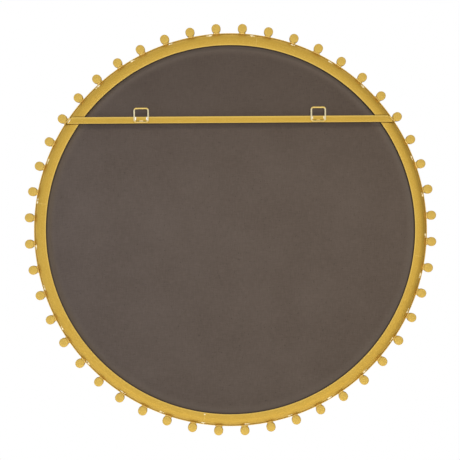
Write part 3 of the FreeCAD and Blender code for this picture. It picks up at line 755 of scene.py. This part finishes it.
def finish_piece(piece, finish, slot, *nodes):
    """Smooths a piece, puts on its finish, fixes it to the part, and hides the solids that it stands for."""
    leave_edit()
    piece.select_set(True)
    bpy.context.view_layer.objects.active = piece
    bpy.ops.object.transform_apply(location=True, rotation=True, scale=True)
    bpy.ops.object.shade_smooth_by_angle(angle=SMOOTH_ANGLE)
    if not piece.data.materials:
        piece.data.materials.append(finish)
    piece.data.name = piece.name
    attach(piece, "root")
    if nodes:
        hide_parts(*nodes)
    print(piece.name, "faces:", len(piece.data.polygons))


# %% [markdown]
# ## Rim hoop
#
# The hoop is a strip of steel rolled into a circle, with its ends butted. It carries the slugs on its
# outside. A cylinder with a hole would do, but its edges would be razor sharp, and a thin strip lives from
# the line of light on its rounded edge. So the strip's section is a small plane with bevelled corners, spun
# about the mirror's axis.

# %% Rim hoop
HOOP_WALL = 1.5 * MM
HOOP_EDGE = 0.4 * MM
CENTRE = (0, 0, 0)
RING_STEPS = 288

hoop_radius = hoop_high.x
leave_edit()
bpy.ops.mesh.primitive_plane_add(size=1)
hoop = bpy.context.object
hoop.name = "rim_hoop_strip"
bpy.ops.object.mode_set(mode="EDIT")
bpy.ops.transform.resize(value=(HOOP_WALL, hoop_high.y - hoop_low.y, 1))
bpy.ops.transform.translate(value=(hoop_radius - HOOP_WALL / 2, (hoop_high.y + hoop_low.y) / 2, 0))
bpy.ops.mesh.bevel(offset=HOOP_EDGE, segments=4, affect="VERTICES")
bpy.ops.mesh.delete(type="ONLY_FACE")
turn_about(CENTRE, RING_STEPS)
finish_piece(hoop, hoop_gold, "gold_lacquer", "rim_hoop")

# %% [markdown]
# ## Back flange
#
# The ring that shows most is sheet, bent over a roller: flat beside the hole, then rounded forwards, then a
# short skirt that the board rests on. A sheet has the same thickness everywhere, so only its outside is drawn
# and spun, and the Solidify modifier gives it its 2 mm. A bevel takes the burr off the edges.

# %% Back flange
SHEET = 2.0 * MM
FLANGE_FLAT = 8.5 * MM
CROWN_RADIUS = 16.5 * MM
CROWN_STEPS = 16
SKIRT = 2.0 * MM
SHEET_EDGE = 0.45 * MM
SHARP_ANGLE = math.radians(50)

flange_low, flange_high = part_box("back_flange")
crown_drop = flange_high.y - flange_low.y - SKIRT
crown_turn = math.acos(1 - crown_drop / CROWN_RADIUS)
crown_start = flange_high.x - CROWN_RADIUS * math.sin(crown_turn)
crown_middle = (crown_start, flange_high.y - CROWN_RADIUS, 0)
flange_hole = crown_start - FLANGE_FLAT

flange = start_point("back_flange_sheet", flange_hole, flange_high.y, 0)
draw_line(FLANGE_FLAT, 0, 0)
draw_bend(crown_middle, math.degrees(crown_turn), CROWN_STEPS)
draw_line(0, -SKIRT, 0)
turn_about(CENTRE, RING_STEPS)
apply_modifier(flange, "SOLIDIFY", thickness=SHEET, offset=-1, use_even_offset=True)
apply_modifier(
    flange, "BEVEL", width=SHEET_EDGE, segments=3, limit_method="ANGLE", angle_limit=SHARP_ANGLE
)
finish_piece(flange, ring_gold, "gold_lacquer", "back_flange")
print("crown turns", round(math.degrees(crown_turn), 1), "degrees, hole radius", round(flange_hole, 4))

# %% [markdown]
# The ring was bent in four quarters and butted end to end, and the welds were ground down to faint ridges. A
# ridge follows the same outline as the sheet, so that is drawn once more, given the width of the ridge, and
# copied to the four places on the ring.

# %% Flange seams
SEAM_WIDTH = 1.8 * MM
SEAM_HEIGHT = 0.5 * MM
SEAM_EDGE = 0.2 * MM
SEAM_TURNS = (81.7, 171.7, 261.8, 351.8)

ridge = start_point("first_ridge", flange_hole, flange_high.y, -SEAM_WIDTH / 2)
draw_line(FLANGE_FLAT, 0, 0)
draw_bend((*crown_middle[:2], -SEAM_WIDTH / 2), math.degrees(crown_turn), CROWN_STEPS)
bpy.ops.mesh.select_all(action="SELECT")
draw_line(0, 0, SEAM_WIDTH)
close_up()
apply_modifier(ridge, "SOLIDIFY", thickness=SEAM_HEIGHT, offset=0)
apply_modifier(ridge, "BEVEL", width=SEAM_EDGE, segments=2, limit_method="ANGLE")
ridges = []
for turn in SEAM_TURNS:
    other = copy_piece(ridge, "ridge")
    other.data.transform(Matrix.Rotation(math.radians(turn), 4, "Y"))
    ridges.append(other)
bpy.data.objects.remove(ridge)
finish_piece(join_pieces("flange_seam_ridges", ridges), bead_gold, "gold_lacquer")

# %% [markdown]
# ## Backing board and mirror glass
#
# Both are discs. The board is sawn, so its edge is only just broken. The glass has a ground edge, and since
# that edge shows green while the faces are silver, its faces get one material and its side another.

# %% Backing board
DISC_STEPS = 192
AXIS_ALONG_Y = (math.pi / 2, 0, 0)
BOARD_EDGE = 0.5 * MM


def add_disc(name, node):
    """A disc that fills a node's box, with its axis along Y."""
    leave_edit()
    low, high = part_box(node)
    bpy.ops.mesh.primitive_cylinder_add(
        vertices=DISC_STEPS,
        radius=high.x,
        depth=high.y - low.y,
        location=(low + high) / 2,
        rotation=AXIS_ALONG_Y,
    )
    disc = bpy.context.object
    disc.name = name
    bpy.ops.object.transform_apply(location=True, rotation=True, scale=True)
    return disc


board = add_disc("backing_board_sheet", "backing_board")
apply_modifier(board, "BEVEL", width=BOARD_EDGE, segments=2, limit_method="ANGLE")
finish_piece(board, board_brown, "brown_board", "backing_board")

# %% Mirror glass
GLASS_ARRIS = 1.0 * MM
SILVER_FACE, GREEN_EDGE = 0, 1
FLAT_ENOUGH = 0.99

glass = add_disc("mirror_glass_plate", "mirror_glass")
apply_modifier(glass, "BEVEL", width=GLASS_ARRIS, segments=1, limit_method="ANGLE")
glass.data.materials.append(silver)
glass.data.materials.append(glass_edge)
for face in glass.data.polygons:
    face.material_index = SILVER_FACE if abs(face.normal.y) > FLAT_ENOUGH else GREEN_EDGE
finish_piece(glass, silver, "silvered_glass", "mirror_glass")

# %% [markdown]
# ## Hanging bar
#
# A piece of half-inch flat bar crosses the ring, and its ends are cut to the curve of the rim. It starts as
# a cube at the bar's size. A Boolean with a cylinder of the right radius cuts both ends in one go, which is
# easier than bending edges, and a small bevel rounds the rolled edges.

# %% Hanging bar
BAR_EDGE = 0.6 * MM
CUTTER_STEPS = 4 * DISC_STEPS
CUTTER_DEPTH = 0.1

bar_end_radius = math.hypot(bar_high.x, bar_low.z)
leave_edit()
bpy.ops.mesh.primitive_cylinder_add(
    vertices=CUTTER_STEPS, radius=bar_end_radius, depth=CUTTER_DEPTH, rotation=AXIS_ALONG_Y
)
cutter = bpy.context.object
leave_edit()
bpy.ops.mesh.primitive_cube_add(size=1, location=bar_middle)
bar = bpy.context.object
bar.name = "hanging_bar_flat"
bar.scale = (2 * hoop_radius, bar_high.y - bar_low.y, bar_high.z - bar_low.z)
bpy.ops.object.transform_apply(location=True, rotation=True, scale=True)
apply_modifier(bar, "BOOLEAN", operation="INTERSECT", object=cutter, solver="EXACT")
bpy.data.objects.remove(cutter)
apply_modifier(bar, "BEVEL", width=BAR_EDGE, segments=3, limit_method="ANGLE", angle_limit=SHARP_ANGLE)
finish_piece(bar, bar_gold, "gold_lacquer", "hanging_bar")

# %% [markdown]
# ## Hang loops
#
# Each loop is a length of round wire, bent into a square with soft corners and welded to the bar. It is made
# here the way a wire bender makes it: a circle is pushed along a side, turned round a corner, pushed along
# the next side, and so on until it meets its start. The right loop is a copy of the left one.

# %% Hang loops
LOOP_CORNER = 4.0 * MM
CORNER_STEPS = 6
WIRE_SIDES = 18

wire = loop_high.y - loop_low.y
reach = wire / 2 + LOOP_CORNER
across = loop_high.x - loop_low.x - 2 * reach
rise = loop_high.z - loop_low.z - 2 * reach
sides = ((across, 0, 0), (0, 0, rise), (-across, 0, 0), (0, 0, -rise))
corners = (
    (loop_high.x - reach, loop_middle.y, loop_low.z + reach),
    (loop_high.x - reach, loop_middle.y, loop_high.z - reach),
    (loop_low.x + reach, loop_middle.y, loop_high.z - reach),
    (loop_low.x + reach, loop_middle.y, loop_low.z + reach),
)
leave_edit()
bpy.ops.mesh.primitive_circle_add(
    vertices=WIRE_SIDES,
    radius=wire / 2,
    location=(loop_low.x + reach, loop_middle.y, loop_low.z + wire / 2),
    rotation=(0, math.pi / 2, 0),
)
left_loop = bpy.context.object
left_loop.name = "hang_loop_wire_left"
bpy.ops.object.transform_apply(location=True, rotation=True, scale=True)
bpy.ops.object.mode_set(mode="EDIT")
bpy.ops.mesh.select_all(action="SELECT")
for side, corner in zip(sides, corners):
    draw_line(*side)
    bpy.ops.mesh.spin(steps=CORNER_STEPS, angle=math.pi / 2, center=corner, axis=(0, 1, 0))
close_up()
right_loop = copy_piece(left_loop, "hang_loop_wire_right")
right_loop.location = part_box("hang_loop_right")[0] - loop_low
finish_piece(left_loop, wire_gold, "gold_lacquer", "hang_loop_left")
finish_piece(right_loop, wire_gold, "gold_lacquer", "hang_loop_right")

# %% [markdown]
# ## Edge beads
#
# The slugs round the rim are turned: a hollow back with a broken edge, a straight side and a domed front. One
# half section is drawn from the axis outwards and spun. That slug is then copied to every place, each copy
# with its own mesh, so that any of them could be changed later.

# %% Edge beads
BEAD_EDGE = 0.8 * MM
BEAD_EDGE_STEPS = 4
BEAD_DISH = 0.5 * MM
DISH_INNER_WIDTH = 0.6
DISH_INNER_DROP = 0.2
BEAD_FLAT = 2.0 * MM
DOME_STEPS = 9
BEAD_STEPS = 40
QUARTER_TURN = 90

bead_nodes = sorted(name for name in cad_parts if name.startswith("edge_bead"))
bead_radius = (bead_high.x - bead_low.x) / 2
dome = bead_radius - BEAD_FLAT
side_start = bead_high.y - BEAD_DISH - BEAD_EDGE
side_end = bead_low.y + dome
slug = start_point("first_bead", 0, bead_high.y, 0)
draw_line(bead_radius * DISH_INNER_WIDTH, -BEAD_DISH * DISH_INNER_DROP, 0)
draw_line(bead_radius * (1 - DISH_INNER_WIDTH) - BEAD_EDGE, -BEAD_DISH * (1 - DISH_INNER_DROP), 0)
draw_bend((bead_radius - BEAD_EDGE, side_start, 0), QUARTER_TURN, BEAD_EDGE_STEPS)
draw_line(0, side_end - side_start, 0)
draw_bend((BEAD_FLAT, side_end, 0), QUARTER_TURN, DOME_STEPS)
draw_line(-BEAD_FLAT, 0, 0)
turn_about(CENTRE, BEAD_STEPS)
for node in bead_nodes:
    low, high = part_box(node)
    bead = copy_piece(slug, node.replace("edge_bead", "turned_bead"))
    bead.location = ((low.x + high.x) / 2, 0, (low.z + high.z) / 2)
    finish_piece(bead, bead_gold, "gold_lacquer", node)
bpy.data.objects.remove(slug)

# %% [markdown]
# ## Welds
#
# Hand welds are small puddles of metal, no two alike. The solid model has a short prism for each one, so the
# places can be read from there: triangles that share a corner belong to the same weld. One ball is copied to
# each place, flattened and turned to lie on its seam, and a Displace modifier with a cloud texture, read in
# the part's own space, makes every one of them lumpy in its own way.

# %% Places of the welds
CAD_GAP = 0.001 * MM


def solids_of(node):
    """The middle and the box of each separate solid in a node, in a steady order."""
    mesh = bmesh.new()
    mesh.from_mesh(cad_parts[node].data)
    bmesh.ops.remove_doubles(mesh, verts=mesh.verts, dist=CAD_GAP)
    waiting = set(mesh.verts)
    found = []
    while waiting:
        front = [waiting.pop()]
        points = []
        while front:
            vertex = front.pop()
            points.append(vertex.co.copy())
            near = {edge.other_vert(vertex) for edge in vertex.link_edges} & waiting
            waiting -= near
            front.extend(near)
        low = Vector(min(p[axis] for p in points) for axis in range(3))
        high = Vector(max(p[axis] for p in points) for axis in range(3))
        found.append(((low + high) / 2, low, high))
    mesh.free()
    return sorted(found, key=lambda solid: tuple(round(value, 5) for value in solid[0]))


# %% Weld helpers
WELD_RINGS = 10
WELD_SEGMENTS = 18

leave_edit()
bpy.ops.mesh.primitive_uv_sphere_add(segments=WELD_SEGMENTS, ring_count=WELD_RINGS, radius=1)
ball = bpy.context.object


def add_puddle(place, size, turn):
    """A copy of the ball, flattened to a size, turned and set in place."""
    puddle = copy_piece(ball, "puddle")
    puddle.data.transform(Matrix.Translation(place) @ turn @ Matrix.Diagonal((*size, 1)))
    return puddle


def join_welds(name, puddles, ripple, depth):
    """Makes one piece of many puddles and roughens it."""
    weld = join_pieces(name, puddles)
    texture = bpy.data.textures.new(name, "CLOUDS")
    texture.noise_scale = ripple
    apply_modifier(weld, "DISPLACE", texture=texture, texture_coords="GLOBAL", strength=depth, mid_level=0.5)
    return weld


def facing_out(place):
    """A turn whose X runs along the ring, Y towards the wall and Z outwards, at a place on the ring."""
    outwards = Vector((place.x, 0, place.z)).normalized()
    back = Vector((0, 1, 0))
    return Matrix((back.cross(outwards), back, outwards)).transposed().to_4x4()


print("faces of a puddle:", len(ball.data.polygons))

# %% Tack welds between flange and hoop
WELD_SEED = 7
WELD_RIPPLE = 2.4 * MM
WELD_LUMPS = 0.7 * MM
TACK_SIZE = (3.6 * MM, 1.5 * MM, 1.9 * MM)
TACK_SPREAD = (0.8, 1.25)
TACK_LEAN = math.radians(48)
SPATTER_SPREAD = (0.4, 0.7)
SPATTER_STEP = (4 * MM, 7 * MM)
SEAM_SPOT_SIZE = (1.9 * MM, 0.6 * MM, 1.4 * MM)
SEAM_SPOT_STEP = 3.5 * MM

chance = random.Random(WELD_SEED)
tacks = []
for middle, *_ in solids_of("flange_tack_welds"):
    facing = facing_out(middle) @ Matrix.Rotation(TACK_LEAN, 4, "X")
    size = [axis * chance.uniform(*TACK_SPREAD) for axis in TACK_SIZE]
    tacks.append(add_puddle(middle, size, facing))
    aside = facing.to_3x3() @ Vector((chance.uniform(*SPATTER_STEP) * chance.choice((-1, 1)), 0, 0))
    size = [axis * chance.uniform(*SPATTER_SPREAD) for axis in TACK_SIZE]
    tacks.append(add_puddle(middle + aside, size, facing))
seam_facing = Matrix.Rotation(math.radians(SEAM_TURNS[0]), 4, "Y")
seam_spot = seam_facing @ Vector((flange_hole + SEAM_SPOT_STEP, flange_high.y, 0))
tacks.append(add_puddle(seam_spot, SEAM_SPOT_SIZE, seam_facing))
tack_welds = join_welds("flange_tack_puddles", tacks, WELD_RIPPLE, WELD_LUMPS)
# the pale finish of the tacks is partly a painted glint
finish_piece(tack_welds, weld_gold, "gold_lacquer", "flange_tack_welds")

# %% Welds between beads and hoop
SADDLE_SIZE = (7.0 * MM, 3.2 * MM, 2.7 * MM)
SADDLE_SPREAD = (0.85, 1.12)
SADDLE_LIFT = Vector((0, 2.2 * MM, 0))
SADDLE_RIPPLE = 3.0 * MM
SADDLE_LUMPS = 0.8 * MM

saddles = []
for middle, *_ in solids_of("bead_welds"):
    size = [axis * chance.uniform(*SADDLE_SPREAD) for axis in SADDLE_SIZE]
    saddles.append(add_puddle(middle + SADDLE_LIFT, size, facing_out(middle)))
bead_welds = join_welds("bead_weld_saddles", saddles, SADDLE_RIPPLE, SADDLE_LUMPS)
finish_piece(bead_welds, bead_weld_gold, "gold_lacquer", "bead_welds")

# %% [markdown]
# The hanger has four kinds of weld: a fillet along each cut end of the bar, a bright bead laid over one of
# these ends, a bright spot inside each side of a loop, and a flat puddle over a loop's lower wire. The bright
# bead and spots are painted pale as painted glints, and the welds on the side of the bright bead get paler
# finishes than those on the other, also painted glints. Each puddle gets its finish before they are joined,
# because a joined piece keeps the finishes of its parts.

# %% Welds of the bar and the loops
BAR_END = 0.25
FILLET_SIZE = (6.2 * MM, 2.6 * MM, 2.0 * MM)
FILLET_STEP = 1.8 * MM
CAP_SIZE = (6.0 * MM, 2.6 * MM, 1.3 * MM)
CAP_STEP = -0.9 * MM
CAP_LIFT = 1.9 * MM
LOOP_WELD_SPREAD = Vector((0.72, 0.6, 0.6))

hanger_puddles = []


def add_hanger_weld(place, size, turn, finish):
    """One weld of the hanger, with a finish of its own."""
    puddle = add_puddle(place, size, turn)
    puddle.data.materials.append(finish)
    hanger_puddles.append(puddle)
    print(finish.name, "at", [round(value, 4) for value in place])


for middle, low, high in solids_of("hanger_welds"):
    if abs(middle.x) > BAR_END:
        outwards = Vector((middle.x, 0, bar_middle.z)).normalized()
        fillet = outwards * (bar_end_radius + FILLET_STEP) + Vector((0, bar_low.y, 0))
        add_hanger_weld(fillet, FILLET_SIZE, facing_out(outwards), bead_weld_gold)
        if middle.x > 0:
            # a pale bead over this end only: a painted glint
            cap = outwards * (bar_end_radius + CAP_STEP) + Vector((0, bar_low.y + CAP_LIFT, 0))
            add_hanger_weld(cap, CAP_SIZE, facing_out(outwards), weld_gold)
    else:
        # the loop on this side gets the paler finishes: painted glints
        inner, lower = (spot_glint_gold, weld_gold) if middle.x > 0 else (weld_gold, bead_weld_gold)
        finish = inner if middle.z > bar_middle.z else lower
        add_hanger_weld(middle, (high - low) * LOOP_WELD_SPREAD, Matrix.Identity(4), finish)
hanger_welds = join_welds("hanger_weld_puddles", hanger_puddles, WELD_RIPPLE, WELD_LUMPS)
bpy.data.objects.remove(ball)
finish_piece(hanger_welds, weld_gold, "gold_lacquer", "hanger_welds")

# %% [markdown]
# ## Mastic and sealant
#
# These hold the board and the glass, and hardly show. The mastic dabs were pressed flat between two sheets,
# so each is a low disc with a bulging edge. The sealant is a bead of silicone run round the corner where the
# board meets the skirt, smoothed with a finger, so its face is hollow.

# %% Mirror adhesive
DAB_SIDES = 48
DAB_BULGE = 0.45

dab_low, dab_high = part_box("mirror_adhesive")
dab_solids = solids_of("mirror_adhesive")
dab_radius = max(high.x - low.x for _, low, high in dab_solids) / 2
dab_depth = dab_high.y - dab_low.y
leave_edit()
bpy.ops.mesh.primitive_cylinder_add(
    vertices=DAB_SIDES, radius=dab_radius, depth=dab_depth, rotation=AXIS_ALONG_Y
)
dab = bpy.context.object
bpy.ops.object.transform_apply(location=True, rotation=True, scale=True)
apply_modifier(dab, "BEVEL", width=dab_depth * DAB_BULGE, segments=3, limit_method="ANGLE")
dabs = []
for middle, *_ in dab_solids:
    other = copy_piece(dab, "dab")
    other.data.transform(Matrix.Translation(middle))
    dabs.append(other)
bpy.data.objects.remove(dab)
adhesive = join_pieces("mirror_adhesive_dabs", dabs)
finish_piece(adhesive, mastic, "mirror_mastic", "mirror_adhesive")

# %% Board sealant
SEALANT_WIDTH = 6.0 * MM
HOLLOW_WIDTH = 0.35
HOLLOW_DROP = 0.55

seal_low, seal_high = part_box("board_sealant")
seal_rise = seal_high.y - seal_low.y
silicone = start_point("board_sealant_bead", seal_high.x, seal_low.y, 0)
draw_line(0, seal_rise, 0)
draw_line(-SEALANT_WIDTH * HOLLOW_WIDTH, -seal_rise * HOLLOW_DROP, 0)
draw_line(-SEALANT_WIDTH * (1 - HOLLOW_WIDTH), -seal_rise * (1 - HOLLOW_DROP), 0)
draw_line(SEALANT_WIDTH, 0, 0)
turn_about(CENTRE, RING_STEPS)
finish_piece(silicone, sealant, "clear_silicone", "board_sealant")
